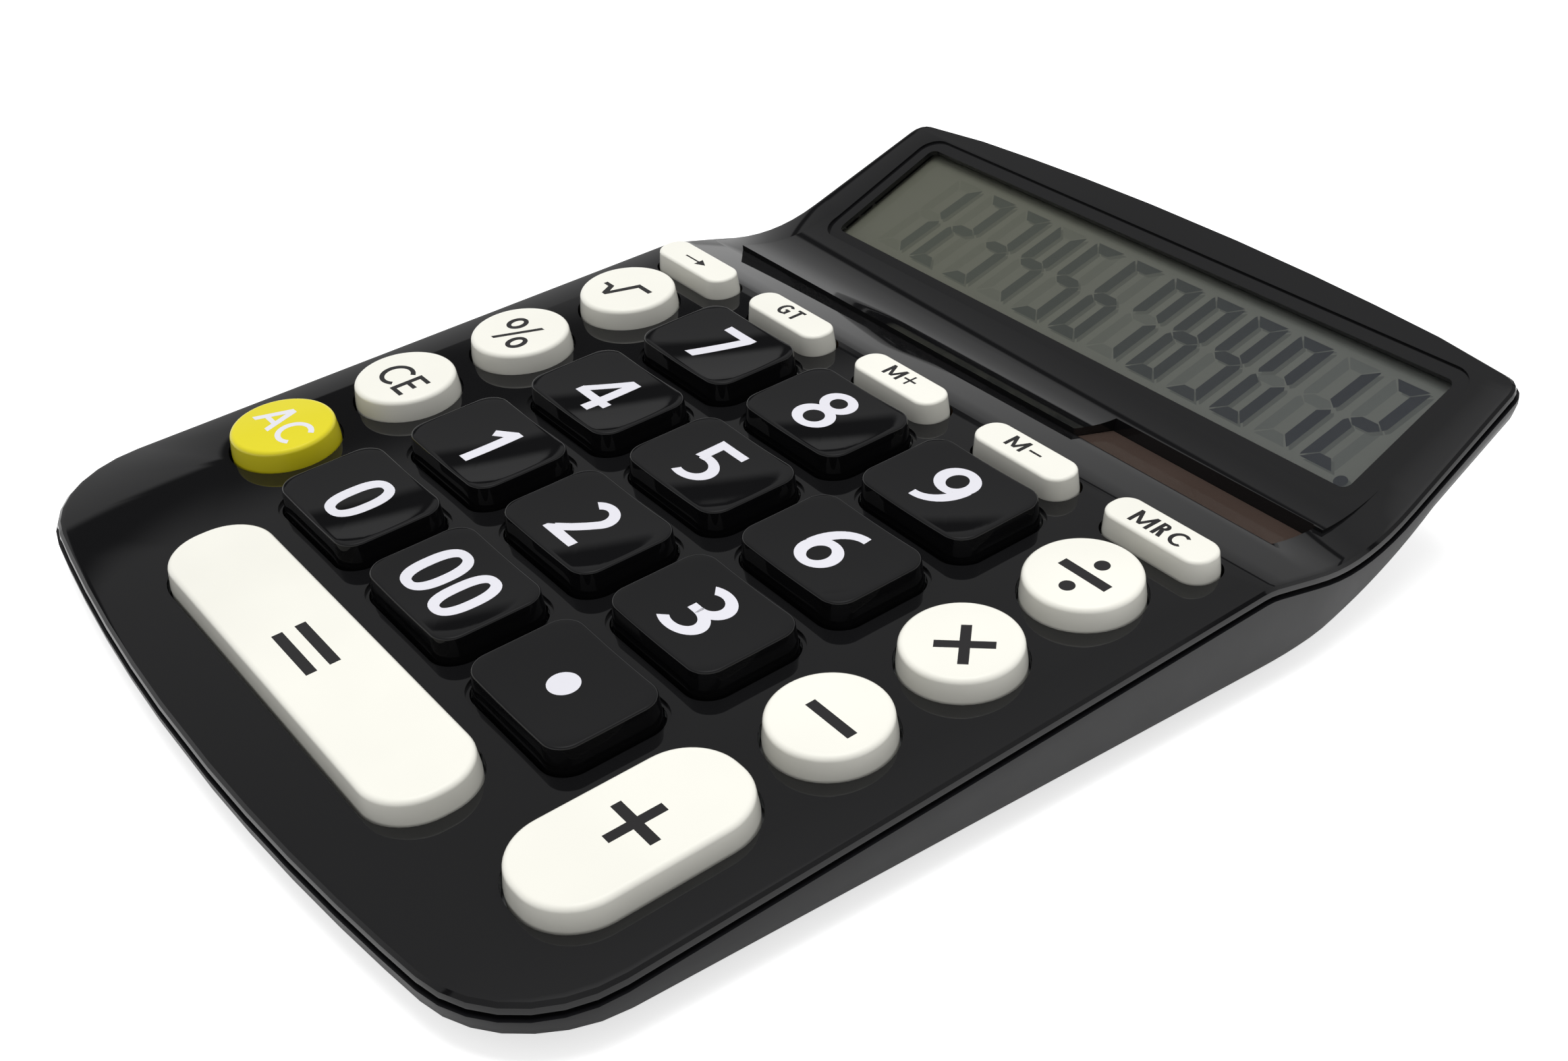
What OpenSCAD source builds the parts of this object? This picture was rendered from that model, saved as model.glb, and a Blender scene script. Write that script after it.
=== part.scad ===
/* [Casing] */
// Width of the upper cover
body_w = 148.2; // [134:0.2:164]
// Casing in front of the equals key, to the middle of the bowed front edge
front_margin = 11.2; // [10:0.2:18]
// Length of the head, from the bend behind the function keys to the middle of the back edge
head_len = 64.3; // [62.5:0.1:75]
// Radius of the front corners in plan
corner_r = 18.6; // [12:0.2:24]
// Radius of the back corners in plan
back_corner_r = 3; // [2:0.5:8]
// Radius of the bow of the front edge
front_bow_r = 422; // [300:1:900]
// Radius of the bow of the back edge
back_bow_r = 777; // [500:1:1500]
// Angle by which each side of the head turns inwards
side_taper = 4.4; // [0:0.2:6]
// Slope of the key deck when the casing stands on its feet
deck_tilt = 4.5; // [2:0.5:8]
// Height of the upper cover's side above the seam
rim_h = 2.1; // [2:0.1:4]
// Radius of the upper cover's outer edge
edge_r = 1.2; // [0.6:0.1:1.8]
// Width and height of the groove that marks the seam
groove = 0.7; // [0.4:0.1:0.9]
// Step by which the lower cover stands out past the upper one
lower_step = 0.4; // [0:0.1:0.8]
// Thickness of the deck
deck_t = 1.8; // [1.5:0.1:2.4]
// Thickness of the side walls
wall_t = 2.2; // [1.8:0.1:2.6]
// Thickness of the floor
floor_t = 1.8; // [1.4:0.1:2.2]
// Height from the deck down to the lower edge of the side wall, at the middle key row
side_depth = 9; // [8.6:0.1:12]
// Depth of the rounded belly below the side wall
belly = 5.2; // [4.8:0.1:6]
// Extra depth of the belly under the display
head_belly = 1.4; // [1:0.1:3]
// Width over which the side wall rounds into the floor
belly_w = 10; // [6:0.5:12]

/* [Head] */
// Angle by which the surface behind the deck falls
fall_angle = 15.4; // [10:0.2:20]
// Angle of the display face above the deck
head_tilt = 19.8; // [12:0.2:26]
// Distance from the bend to the bottom of the valley
valley_len = 23.2; // [22:0.2:26]
// Height of the brow that runs along the foot of the head
brow_h = 1.1; // [0.6:0.1:1.6]

/* [Display] */
// Casing at each side of the opening over the display
window_side = 12.4; // [12.1:0.1:18]
// Length of the head, past the valley, that the opening over the display leaves
window_ends = 14.8; // [14.5:0.1:21.1]
// Distance up the slope from the valley to the opening
window_front = 8.35; // [7.85:0.05:8.85]
// Corner radius of the opening
window_r = 1.5; // [0.5:0.1:3]
// Width of the shallow frame around the opening
bezel_w = 2.6; // [1:0.1:3]
// Depth of the shallow frame around the opening
bezel_d = 0.4; // [0.2:0.1:0.6]
// Thickness of the clear display cover
lens_t = 1; // [0.8:0.1:1.2]
// Thickness of the liquid crystal panel
lcd_t = 1.6; // [1.2:0.1:1.8]

/* [Solar panel] */
// Width of the opening over the solar cell
solar_w = 40.6; // [30:0.2:41]
// Length of the opening over the solar cell
solar_l = 9.4; // [8:0.1:9.6]
// Casing between the opening over the solar cell and the casing's side
solar_side = 9.8; // [9.6:0.1:20]
// Thickness of the solar cell
cell_t = 1.1; // [0.7:0.1:1.5]

/* [Keys] */
// Distance between the rows of keys
row_pitch = 22.5; // [20:0.1:25]
// Distance from the casing's side to the middle of a round key
round_side = 16.6; // [15.5:0.1:18]
// Gap between two number keys of a row
col_gap = 5.4; // [4.8:0.1:7]
// Gap between two number keys of a column
row_gap = 5.1; // [4.9:0.1:7]
// Gap between two round keys
round_gap = 5.3; // [5:0.1:7]
// Gap between a number key and a round key
side_gap = 7.35; // [7:0.05:9]
// Gap between the top number row and the function keys
func_gap = 3.6; // [3.5:0.1:5]
// Amount by which a function key is narrower than a number key
func_cut = 4.5; // [3:0.1:7]
// Depth of a function key's top
func_d = 6.4; // [5.4:0.1:7]
// Distance from the end of the equals key to the outer end of the number row
equals_cut = 4.25; // [4:0.05:8]
// Amount by which the plus key is shorter than the two rows it spans
plus_cut = 6.8; // [6:0.1:10]
// Height of the number keys above the deck
num_h = 3.8; // [3:0.1:5]
// Height of the other keys above the deck
white_h = 3.5; // [3:0.1:5]
// Corner radius of the number keys
num_r = 3.5; // [2:0.1:4]
// Radius of the upper edge of the number keys
num_edge_r = 0.4; // [0.3:0.1:0.8]
// Radius of the upper edge of the other keys
key_edge_r = 0.9; // [0.6:0.1:1.4]
// Spread of a key's side between its top and its foot
key_draft = 0.3; // [0.2:0.1:0.6]
// Depth of the hollow in a number key's top
dish_depth = 0.4; // [0.2:0.1:0.6]
// Gap between a key and the edge of its hole
key_gap = 0.45; // [0.3:0.05:0.6]
// Travel of a key
travel = 1.2; // [0.8:0.1:1.2]
// Wall of a key cap
cap_t = 1.3; // [1:0.1:1.5]
// Height of the collar that keeps a key in the casing
collar_t = 0.7; // [0.5:0.1:0.7]
// Width of the collar that keeps a key in the casing
collar_w = 0.8; // [0.6:0.1:0.8]

/* [Inside] */
// Thickness of the rubber keypad sheet
mat_t = 0.6; // [0.4:0.1:0.6]
// Thickness of the circuit board
board_t = 1.2; // [0.8:0.1:1.2]
// Diameter of the button cell
cell_d = 11.6; // [9.5:0.1:12]
// Height of the button cell
cell_h = 3.1; // [2.1:0.1:3.6]
// Diameter of the rubber feet
foot_d = 9; // [6:0.5:12]
// Height of the rubber feet below the floor
foot_h = 1; // [0.6:0.1:2]

/* [Hidden] */
$fn = 48;
eps = 0.01;
fit = 0.1;      // face to face clearance between two pieces of the casing
slack = 0.3;    // side clearance of a piece that lies in a pocket
far = 400;      // larger than the calculator

// ---- profile of the casing, seen from its side: Y back, Z up from the deck ----
round_x = body_w / 2 - round_side;
round_d = row_pitch - round_gap;
num_d = row_pitch - row_gap;
num_w = (round_x - round_d / 2 - side_gap - col_gap) / 1.5;
col_pitch = num_w + col_gap;
func_w = num_w - func_cut;
equals_w = 2 * col_pitch + num_w - 2 * equals_cut;
plus_l = row_pitch + round_d - plus_cut;
window_w = body_w - 2 * window_side;
solar_x = body_w / 2 - solar_side - solar_w / 2;
func_y = row_pitch + num_d / 2 + func_gap + func_d / 2;
equals_y = -3 * row_pitch;
plus_y = -2 * row_pitch + round_d / 2 - plus_l / 2;
front_y = equals_y - num_d / 2 - front_margin;
bend_y = func_y + func_d / 2 + 1.3;
valley_y = bend_y + valley_len;
back_y = bend_y + head_len;
window_l = head_len - valley_len - window_ends;
window_u = window_front + window_l / 2;
mid_y = (front_y + back_y) / 2;
body_l = back_y - front_y;
fall = tan(fall_angle);
climb = tan(head_tilt);
bend_blend = 1.5;    // half length of the rounded bend
valley_blend = 10;   // half length of the rounded valley
base_fall = tan(deck_tilt);
under_rise = 0.54;  // slope of the casing's underside below the head
rise_y = valley_y - 3;
rise_blend = 20;
lower_edge = 1;      // least height of the lower cover's side wall

function ramp(y, blend) = y <= -blend ? 0 : y >= blend ? y : pow(y + blend, 2) / (4 * blend);
function top_z(y) = -fall * ramp(y - bend_y, bend_blend)
    + (fall + climb) * ramp(y - valley_y, valley_blend);
function seam_z(y) = top_z(y) - rim_h;
function wall_end_z(y) = min(seam_z(y) - lower_edge,
    -side_depth - base_fall * y + (base_fall + under_rise) * ramp(y - rise_y, rise_blend));
function belly_z(y) = belly + head_belly * min(1, max(0, (y - valley_y + 6) / 15));
function under_z(y) = wall_end_z(y) - belly_z(y);
base_z = -side_depth - belly;   // the floor's outer face at the middle key row

// ---- outline of the casing, seen from above ----
bow_c = front_y + front_bow_r;
corner_x = body_w / 2 - corner_r;
corner_y = bow_c - sqrt(pow(front_bow_r - corner_r, 2) - pow(corner_x, 2));
corner_a = asin(corner_x / (front_bow_r - corner_r));
taper_y = valley_y - 12;
function side_x(y) = body_w / 2 - tan(side_taper) * max(0, y - taper_y);
rear_y = back_y - back_corner_r - pow(body_w / 2, 2) / (2 * back_bow_r);
rear_x = side_x(rear_y) - back_corner_r;
rear_a = asin(rear_x / back_bow_r);
half_outline = concat(
    [for (k = [0.15, 0.35, 0.55, 0.75, 0.92]) let (x = k * corner_x)
        [x, bow_c - sqrt(pow(front_bow_r, 2) - pow(x, 2))]],
    [for (i = [0:7]) let (a = -90 + corner_a + i * (90 - corner_a) / 7)
        [corner_x + corner_r * cos(a), corner_y + corner_r * sin(a)]],
    [for (k = [0.25, 0.5, 0.75, 0.95]) let (y = corner_y + k * (bend_y - corner_y)) [side_x(y), y]],
    [for (k = [-1, 0, 1]) let (y = bend_y + k * bend_blend) [side_x(y), y]],
    [for (k = [1:20]) let (y = bend_y + bend_blend + k * (rear_y - bend_y - bend_blend) / 21)
        [side_x(y), y]],
    [for (i = [0:4]) let (a = side_taper + i * (90 - rear_a - side_taper) / 4)
        [rear_x + back_corner_r * cos(a), rear_y + back_corner_r * sin(a)]],
    [for (k = [0.8, 0.6, 0.4, 0.15]) let (x = k * rear_x)
        [x, back_y - back_bow_r + sqrt(pow(back_bow_r, 2) - pow(x, 2))]]);
half_n = len(half_outline);
ring_n = 2 * half_n;

// A ring is [inset, height function]; its points run round the inset outline
function ring_points(ring) = let (kx = 1 - 2 * ring[0] / body_w, ky = 1 - 2 * ring[0] / body_l,
    f = ring[1])
    [for (i = [0:ring_n - 1]) let (right = i < half_n, p = half_outline[right ? i : ring_n - 1 - i],
        y = mid_y + (p.y - mid_y) * ky) [(right ? 1 : -1) * p.x * kx, y, f(y)]];

// Solid between rings, listed from the top face over the edge to the bottom face
module moulding(rings) {
    last = (len(rings) - 1) * ring_n;
    polyhedron(
        points = [for (ring = rings) each ring_points(ring)],
        faces = concat(
            [for (i = [0:half_n - 2]) [i, ring_n - 1 - i, ring_n - 2 - i, i + 1]],
            [for (k = [0:len(rings) - 2], i = [0:ring_n - 1]) let (j = (i + 1) % ring_n, a = k * ring_n)
                [a + i, a + j, a + ring_n + j, a + ring_n + i]],
            [for (i = [0:half_n - 2])
                [last + i, last + i + 1, last + ring_n - 2 - i, last + ring_n - 1 - i]]),
        convexity = 6);
}

// ---- frames that the pieces are placed in ----
cos_t = cos(deck_tilt);
sin_t = sin(deck_tilt);
box_front = (front_y - lower_step) * cos_t - seam_z(front_y) * sin_t;
box_back = (back_y + lower_step) * cos_t - wall_end_z(back_y) * sin_t;
stand_z = foot_h - base_z * cos_t;

module in_case() {
    translate([0, -(box_front + box_back) / 2, stand_z]) rotate([deck_tilt, 0, 0]) children();
}
module on_head() {
    translate([0, valley_y, -fall * valley_len]) rotate([head_tilt, 0, 0]) children();
}
module on_base() {
    translate([0, 0, base_z]) rotate([-deck_tilt, 0, 0]) children();
}
module along_x(x0, x1) {
    translate([x0, 0, 0]) rotate([90, 0, 90]) linear_extrude(x1 - x0) children();
}

// Rectangle with true round corners, centred
module round_rect(w, d, r) {
    if (w - 2 * r < eps) circle(r);
    else {
        square([w - 2 * r, d], center = true);
        square([w, d - 2 * r], center = true);
        for (x = [-1, 1], y = [-1, 1]) translate([x * (w / 2 - r), y * (d / 2 - r)]) circle(r);
    }
}
module plate(w, d, r, z0, z1) {
    translate([0, 0, z0]) linear_extrude(z1 - z0) round_rect(w, d, r);
}

// ---- keys: [x, y, width, depth, corner radius, height, edge radius] of the key's top ----
num = [num_w, num_d, num_r, num_h, num_edge_r];
rnd = [round_d, round_d, round_d / 2, white_h, key_edge_r];
fun = [func_w, func_d, func_d / 2 - 0.3, white_h, key_edge_r];
key_mid = -0.35;     // offset of the key block from the middle of the casing
function at(x, y, s) = [key_mid + x, y, s[0], s[1], s[2], s[3], s[4]];
function num_key(i, j) = at(i * col_pitch, j * row_pitch, num);
function round_key(i, j) = at(i * round_x, j * row_pitch, rnd);
function func_key(x) = at(x, func_y, fun);
equals_d = num_d - 1.3;
equals_key = [key_mid, equals_y, equals_w, equals_d, equals_d / 2 - 0.6, white_h, key_edge_r];
plus_key = [key_mid + round_x, plus_y, round_d, plus_l, round_d / 2 - 0.6, white_h, key_edge_r];
key_list = concat(
    [for (x = [-round_x, -col_pitch, 0, col_pitch, round_x]) func_key(x)],
    [for (j = [1, 0, -1], i = [-1, 0, 1]) num_key(i, j)],
    [for (i = [-1, 0, 1]) num_key(i, -2)],
    [for (j = [1, 0, -1, -2]) round_key(-1, j)],
    [for (j = [1, 0, -1]) round_key(1, j)],
    [equals_key, plus_key]);
function is_round(k) = k[4] * 2 >= k[2] - eps;

collar_top = -deck_t - 0.25;
collar_end = collar_top - collar_t;
mat_top = collar_end - travel - 0.25;
board_top = mat_top - mat_t;
board_end = board_top - board_t;

module round_cap(k) {
    r = k[2] / 2;
    rotate_extrude() difference() {
        union() {
            cap_section(r, k[5], k[6]);
            translate([0, collar_end]) square([r + key_draft + key_gap + collar_w, collar_top - collar_end]);
        }
        translate([2.4, collar_end - eps]) square([r - cap_t - 2.4, k[5] - cap_t - collar_end]);
    }
}
// Half section of a key whose top reaches r from the middle
module cap_section(r, h, e) {
    polygon([[0, collar_end], [r + key_draft, collar_end], [r + key_draft, 0], [r, h - e], [r - e, h - e],
        [r - e, h], [0, h]]);
    translate([r - e, h - e]) intersection() {
        circle(e);
        square(e);
    }
}
module cap_bar(w, l, h, e) {
    rotate([90, 0, 0]) linear_extrude(l, center = true) {
        cap_section(w / 2, h, e);
        mirror([1, 0]) cap_section(w / 2, h, e);
    }
}
module long_cap(k, dished) {
    r = k[4] + key_draft + key_gap + collar_w;
    spread = 2 * (key_draft + key_gap + collar_w);
    difference() {
        union() {
            cap_bar(k[2], k[3] - 2 * k[4], k[5], k[6]);
            rotate(90) cap_bar(k[3], k[2] - 2 * k[4], k[5], k[6]);
            for (x = [-1, 1], y = [-1, 1]) translate([x * (k[2] / 2 - k[4]), y * (k[3] / 2 - k[4]), 0])
                rotate_extrude() cap_section(k[4], k[5], k[6]);
            plate(k[2] + spread, k[3] + spread, r, collar_end, collar_top);
        }
        if (dished) translate([0, 0, k[5] - dish_depth]) dish(k);
        difference() {
            plate(k[2] - 2 * cap_t, k[3] - 2 * cap_t, max(0.6, k[4] - cap_t), collar_end - 1,
                k[5] - cap_t - (dished ? dish_depth : 0));
            for (x = stems(k)) translate([x, 0, 0]) stem(k);
        }
    }
}
// Shallow hollow with a fine rim, cut into a number key's top
module dish(k) {
    inset = 2.6;
    r = (pow(k[2] / 2, 2) + pow(dish_depth, 2)) / (2 * dish_depth);
    intersection() {
        translate([0, 0, r]) rotate([90, 0, 0]) sphere(r, $fn = 240);
        plate(k[2] - inset, k[3] - inset, k[4] - inset / 2, -1, 2);
    }
}
// Posts under a key: one in the middle of a short key, three under a long one
function stems(k) = k[2] > 2.5 * num_d ? [-k[2] * 0.36, 0, k[2] * 0.36] : [0];
module stem(k) {
    cylinder(r = min(2.4, k[3] / 2 - cap_t - 0.6), h = 40, center = true);
}
module key(k) {
    colour = k == round_key(-1, -2) ? "gold" : k[5] == num_h && k[2] == num_w ? "#202124" : "ivory";
    color(colour) in_case() translate([k[0], k[1], 0]) {
        if (is_round(k)) round_cap(k);
        else long_cap(k, k[2] == num_w);
    }
}
module key_hole(k) {
    spread = 2 * (key_draft + key_gap);
    translate([k[0], k[1], 0]) {
        plate(k[2] + spread, k[3] + spread, k[4] + spread / 2, -deck_t - 1, 1);
        if (k[2] == num_w) plate(k[2] + spread + 1.2, k[3] + spread + 1.2, k[4] + spread / 2 + 0.6, -0.5, 1);
    }
}

// ---- fastening points, in the gaps between the keys ----
gap_x = (col_pitch + num_w / 2 + round_x - round_d / 2) / 2;
front_post = [(equals_w / 2 + round_x - round_d / 2) / 2, equals_y];
head_post = [body_w / 2 - 6.2, valley_y - 8];
// Case screw: [x, y, height of the joint between the posts, length under the head]
case_points = [for (s = [-1, 1]) each [
    [s * front_post.x, front_post.y, board_end + 0.6, 4.2],
    [s * gap_x, row_pitch / 2, board_end - 2.2, 7],
    [s * head_post.x, head_post.y, -9.5, 6]]];
board_points = [for (s = [-1, 1]) each [
    [s * col_pitch / 2, row_pitch / 2], [s * col_pitch / 2, -1.5 * row_pitch],
    [s * gap_x, -row_pitch / 2], [s * gap_x, -2.5 * row_pitch]]];
boss_r = 2.4;
post_r = 1.75;
pilot_r = 0.85;
head_seat = 1.6;     // floor of a screw's counterbore
case_head_r = 2.3;
case_head_h = 1.4;

// ---- display stack, in the frame of the head ----
lens_margin = 1.6;
lens_top = -1.3;
lens_end = lens_top - lens_t;
lcd_top = lens_end - fit;
lcd_end = lcd_top - lcd_t;
bracket_t = 0.8;
bracket_x = window_w / 2 + lens_margin + slack + 2.1;
bracket_points = [for (s = [-1, 1], v = [1.15, 9.15]) [s * bracket_x, window_front + v]];

// ---- solar well, in a frame that follows the falling surface ----
well_y = bend_y + 11.3;
well_drop = 0.4;
ledge_t = 0.8;
pane_t = 0.8;
module on_fall() {
    translate([solar_x, well_y, top_z(well_y) - well_drop]) rotate([-fall_angle - 1.6, 0, 0]) children();
}
brow_end = well_y + 22;
function brow_z(y) = top_z(y) + brow_h * (1 - (y - well_y) / (brow_end - well_y));

// ================= casing =================
module upper_cover() color("#1b1c1f") in_case() difference() {
    union() {
        difference() {
            union() {
                moulding(concat(
                    [for (a = [90, 60, 30, 0]) [edge_r * (1 - cos(a)),
                        function(y) top_z(y) - edge_r * (1 - sin(a))]],
                    [[0, function(y) seam_z(y) + groove], [groove, function(y) seam_z(y) + groove],
                        [groove, function(y) seam_z(y) + fit]]));
                brow();
            }
            moulding([[wall_t, function(y) top_z(y) - deck_t], [wall_t, function(y) seam_z(y) - 2]]);
        }
        lip();
        for (p = case_points) translate([p.x, p.y, p[2]]) cylinder(r = boss_r, h = -p[2] - deck_t + fall_at(p.y));
        for (p = board_points) translate([p.x, p.y, board_top]) cylinder(r = post_r, h = -board_top - 1);
        well_block();
        on_head() for (p = bracket_points) translate([p.x, p.y, lcd_end - fit])
            cylinder(r = post_r, h = -lcd_end - 0.9);
    }
    for (k = key_list) key_hole(k);
    for (p = case_points) translate([p.x, p.y, p[2] - eps])
        cylinder(r = pilot_r, h = min(p[3], -p[2] - 1.1 + fall_at(p.y)));
    for (p = board_points) translate([p.x, p.y, board_top - eps]) cylinder(r = pilot_r * 0.8, h = -board_top - 1.1);
    on_head() {
        translate([0, window_u, 0]) {
            plate(window_w + 2 * bezel_w, window_l + 2 * bezel_w, window_r + bezel_w, -bezel_d, 5);
            plate(window_w, window_l, window_r, -5, 5);
            plate(window_w + 2 * lens_margin + slack, window_l + 2 * lens_margin + slack, 1, -6, lens_top);
        }
        for (p = bracket_points) translate([p.x, p.y, lcd_end - 1]) cylinder(r = pilot_r * 0.8, h = 3);
    }
    well_cut();
}
function fall_at(y) = min(0, top_z(y));

module brow() {
    polygon_pts = concat([for (i = [0:12]) let (y = well_y + i * 2) [y, brow_z(y)]],
        [for (y = [well_y + 24, well_y + 12, well_y]) [y, top_z(y) - 1.4]]);
    x0 = body_w / 2 - 8;
    difference() {
        along_x(-x0, x0) polygon(polygon_pts);
        translate([solar_x - solar_w / 2, well_y - 1, -20]) cube([far, solar_l + 1, 40]);
    }
}
module lip() {
    intersection() {
        difference() {
            moulding([[wall_t + 0.3, function(y) seam_z(y) + 0.6], [wall_t + 0.3, function(y) seam_z(y) - 1.1]]);
            moulding([[wall_t + 1.4, function(y) seam_z(y) + 2], [wall_t + 1.4, function(y) seam_z(y) - 2]]);
        }
        translate([-far / 2, -far, -far / 2]) cube([far, far + valley_y + 16, far]);
    }
}
module well_block() {
    on_fall() translate([-solar_w / 2 - 2, -2, -pane_t - ledge_t]) cube([solar_w + 4, solar_l + 4.4, pane_t]);
}
module well_cut() {
    on_fall() {
        translate([-solar_w / 2, 0, -pane_t]) cube([solar_w, solar_l, 20]);
        translate([-solar_w / 2 + 1.1, 1.1, -10]) cube([solar_w - 2.2, solar_l - 2.2, 20]);
    }
}

module lower_cover() color("#26272a") in_case() difference() {
    union() {
        difference() {
            moulding(concat([[-lower_step, function(y) seam_z(y)]],
                [for (a = [0:15:90]) [belly_w * (1 - cos(a)) - lower_step,
                    function(y) wall_end_z(y) - belly_z(y) * sin(a)]]));
            moulding(concat([[wall_t, function(y) seam_z(y) + 2]],
                [for (a = [0:15:90]) [wall_t + (belly_w - wall_t) * (1 - cos(a)),
                    function(y) wall_end_z(y) + 0.5 - (belly_z(y) - floor_t + 0.5) * sin(a)]]));
        }
        for (p = case_points) intersection() {
            translate([p.x, p.y, -30]) cylinder(r = boss_r + 1, h = 30 + p[2] - fit);
            moulding([[1, function(y) seam_z(y)], [1, function(y) wall_end_z(y)],
                [belly_w - 1, function(y) under_z(y) + 0.5]]);
        }
        on_base() cell_box();
    }
    for (p = case_points) translate([p.x, p.y, 0]) {
        translate([0, 0, -40]) cylinder(r = pilot_r + 0.35, h = 41 + p[2]);
        translate([0, 0, -40]) cylinder(r = case_head_r + 0.3, h = 40 + p[2] - fit - head_seat);
    }
    on_head() for (p = bracket_points) translate([p.x, p.y, lcd_end - 3]) cylinder(r = 1.75, h = 4);
    on_base() {
        for (p = foot_points) translate([p.x, p.y, -eps]) cylinder(r = foot_d / 2 + 0.15, h = 0.6);
        cell_cut();
    }
}

// ================= display =================
module display_window() color("#8c948a", 0.5) in_case() on_head() translate([0, window_u, 0])
    plate(window_w + 2 * lens_margin, window_l + 2 * lens_margin, 1, lens_end, lens_top - 0.02);
module lcd_panel() color("#9aa090") in_case() on_head() translate([0, window_u, 0]) {
    w = window_w + 1.6;
    d = window_l + 1.4;
    translate([-w / 2, -d / 2, lcd_top - lcd_t / 2]) cube([w, d, lcd_t / 2]);
    translate([-w / 2, -d / 2 + 1.2, lcd_end]) cube([w, d - 1.2, lcd_t / 2]);
}
module lcd_bracket() color("#d8d8d2") in_case() on_head() translate([0, 0, lcd_end - fit - bracket_t])
    linear_extrude(bracket_t) difference() {
        union() {
            translate([0, window_u]) square([window_w - 2, window_l - 2], center = true);
            for (p = bracket_points) translate([p.x / 2, p.y])
                square([abs(p.x) + 4, 4.4], center = true);
        }
        translate([0, window_u]) square([window_w - 14, window_l - 12], center = true);
        for (p = bracket_points) translate(p) circle(0.95);
    }
module bracket_screws() color("silver") in_case() on_head() for (p = bracket_points)
    translate([p.x, p.y, lcd_end - fit - bracket_t]) small_screw(2.6);
// Strip of a given thickness over a line of points
module band(line, t) {
    polygon(concat(line, [for (i = [len(line) - 1:-1:0]) line[i] + [0, t]]));
}
// Flat cable from the rear face of the panel's lower edge to the board
ribbon_t = 0.2;
module lcd_ribbon() color("#b5743a") in_case() {
    start = [valley_y + (window_u - window_l / 2 - 0.2) * cos(head_tilt) - (lcd_top - lcd_t / 2) * sin(head_tilt),
        -fall * valley_len + (window_u - window_l / 2 - 0.2) * sin(head_tilt) + (lcd_top - lcd_t / 2) * cos(head_tilt)];
    line = [[start.x, start.y - ribbon_t], [start.x - 2, start.y - 1.8], [valley_y - 2, top_z(valley_y) - 5.6],
        [well_y + 4, top_z(well_y) - 6.8], [bend_y + 4, board_end - 2.4], [bend_y - 1, board_end - ribbon_t - 0.05],
        [bend_y - 4, board_end - ribbon_t - 0.05]];
    along_x(-window_w * 0.38, window_w * 0.1) band(line, ribbon_t);
}

// ================= solar panel =================
module solar_window() color("#3a2a22", 0.5) in_case() on_fall()
    translate([-solar_w / 2 + 0.1, 0.1, -pane_t + 0.02]) cube([solar_w - 0.2, solar_l - 0.2, pane_t - 0.02]);
module solar_cell() color("#4a332a") in_case() on_fall()
    translate([-solar_w / 2 + 0.4, 0.4, -pane_t - ledge_t - cell_t]) cube([solar_w - 0.8, solar_l - 0.8, cell_t]);
lead_t = 0.8;
cell_bottom = top_z(well_y + 5) - well_drop - pane_t - ledge_t - cell_t - 1.4;
module solar_leads() color("firebrick") in_case() for (x = [-1.2, 1.2])
    translate([solar_x + x, 0, 0]) along_x(-lead_t / 2, lead_t / 2) band([
        [well_y + 3.6, cell_bottom - lead_t], [well_y + 1.5, cell_bottom - lead_t - 1.2],
        [bend_y + 3, board_end - lead_t - 1.4], [bend_y - 2.6, board_end - lead_t - 0.05],
        [bend_y - 5, board_end - lead_t - 0.05]], lead_t);

// ================= board and keypad =================
board_front = equals_y - equals_d / 2;
board_back = bend_y - 0.8;
board_w = 2 * (round_x + round_d / 2 - 0.6);
board_r = 10;
module main_board() color("#7a4a24") in_case() difference() {
    translate([0, (board_front + board_back) / 2, 0])
        plate(board_w, board_back - board_front, board_r, board_end, board_top);
    sheet_holes(pilot_r + 0.35);
}
module sheet_holes(r) {
    for (p = board_points) translate([p.x, p.y, -20]) cylinder(r = r, h = 20);
    for (p = case_points) translate([p.x, p.y, -20]) cylinder(r = boss_r + 1.5, h = 20);
}
module controller_chip() color("#151515") in_case() translate([0, row_pitch * 0.9, board_end - 1.4])
    rotate_extrude($fn = 96) intersection() {
        square([6, 1.35]);
        translate([0, 13.5]) circle(13.5, $fn = 240);
    }
module capacitor() color("#27408b") in_case() translate([col_pitch * 0.75, func_y - 4, board_end - 2.55]) rotate([0, 90, 0])
    cylinder(r = 2.5, h = 9);
dome_h = collar_end - mat_top - 0.06;
function dome_xs(k) = k[2] > 2.5 * num_d ? stems(k) : [0];
function dome_ys(k) = k[3] > 1.5 * num_d ? [-k[3] * 0.28, k[3] * 0.28] : [0];
module keypad_mat() color("#8d8f92") in_case() difference() {
    union() {
        translate([0, (board_front + board_back) / 2, 0])
            plate(board_w - 1, board_back - board_front - 1, board_r - 0.5, board_top + 0.02, mat_top);
        for (k = key_list, x = dome_xs(k), y = dome_ys(k)) translate([k[0] + x, k[1] + y, mat_top - 0.1])
            cylinder(r1 = dome_r(k), r2 = dome_r(k) - 1.1, h = dome_h + 0.1);
    }
    for (k = key_list, x = dome_xs(k), y = dome_ys(k)) translate([k[0] + x, k[1] + y, board_top - 0.5])
        cylinder(r1 = dome_r(k) - 0.4, r2 = dome_r(k) - 1.9, h = dome_h + mat_t - 0.1);
    for (p = board_points) translate([p.x, p.y, -20]) cylinder(r = post_r + 0.3, h = 20);
    for (p = case_points) translate([p.x, p.y, -20]) cylinder(r = boss_r + 0.5, h = 20);
}
function dome_r(k) = min(3.6, k[3] / 2 - 0.2);

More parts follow.
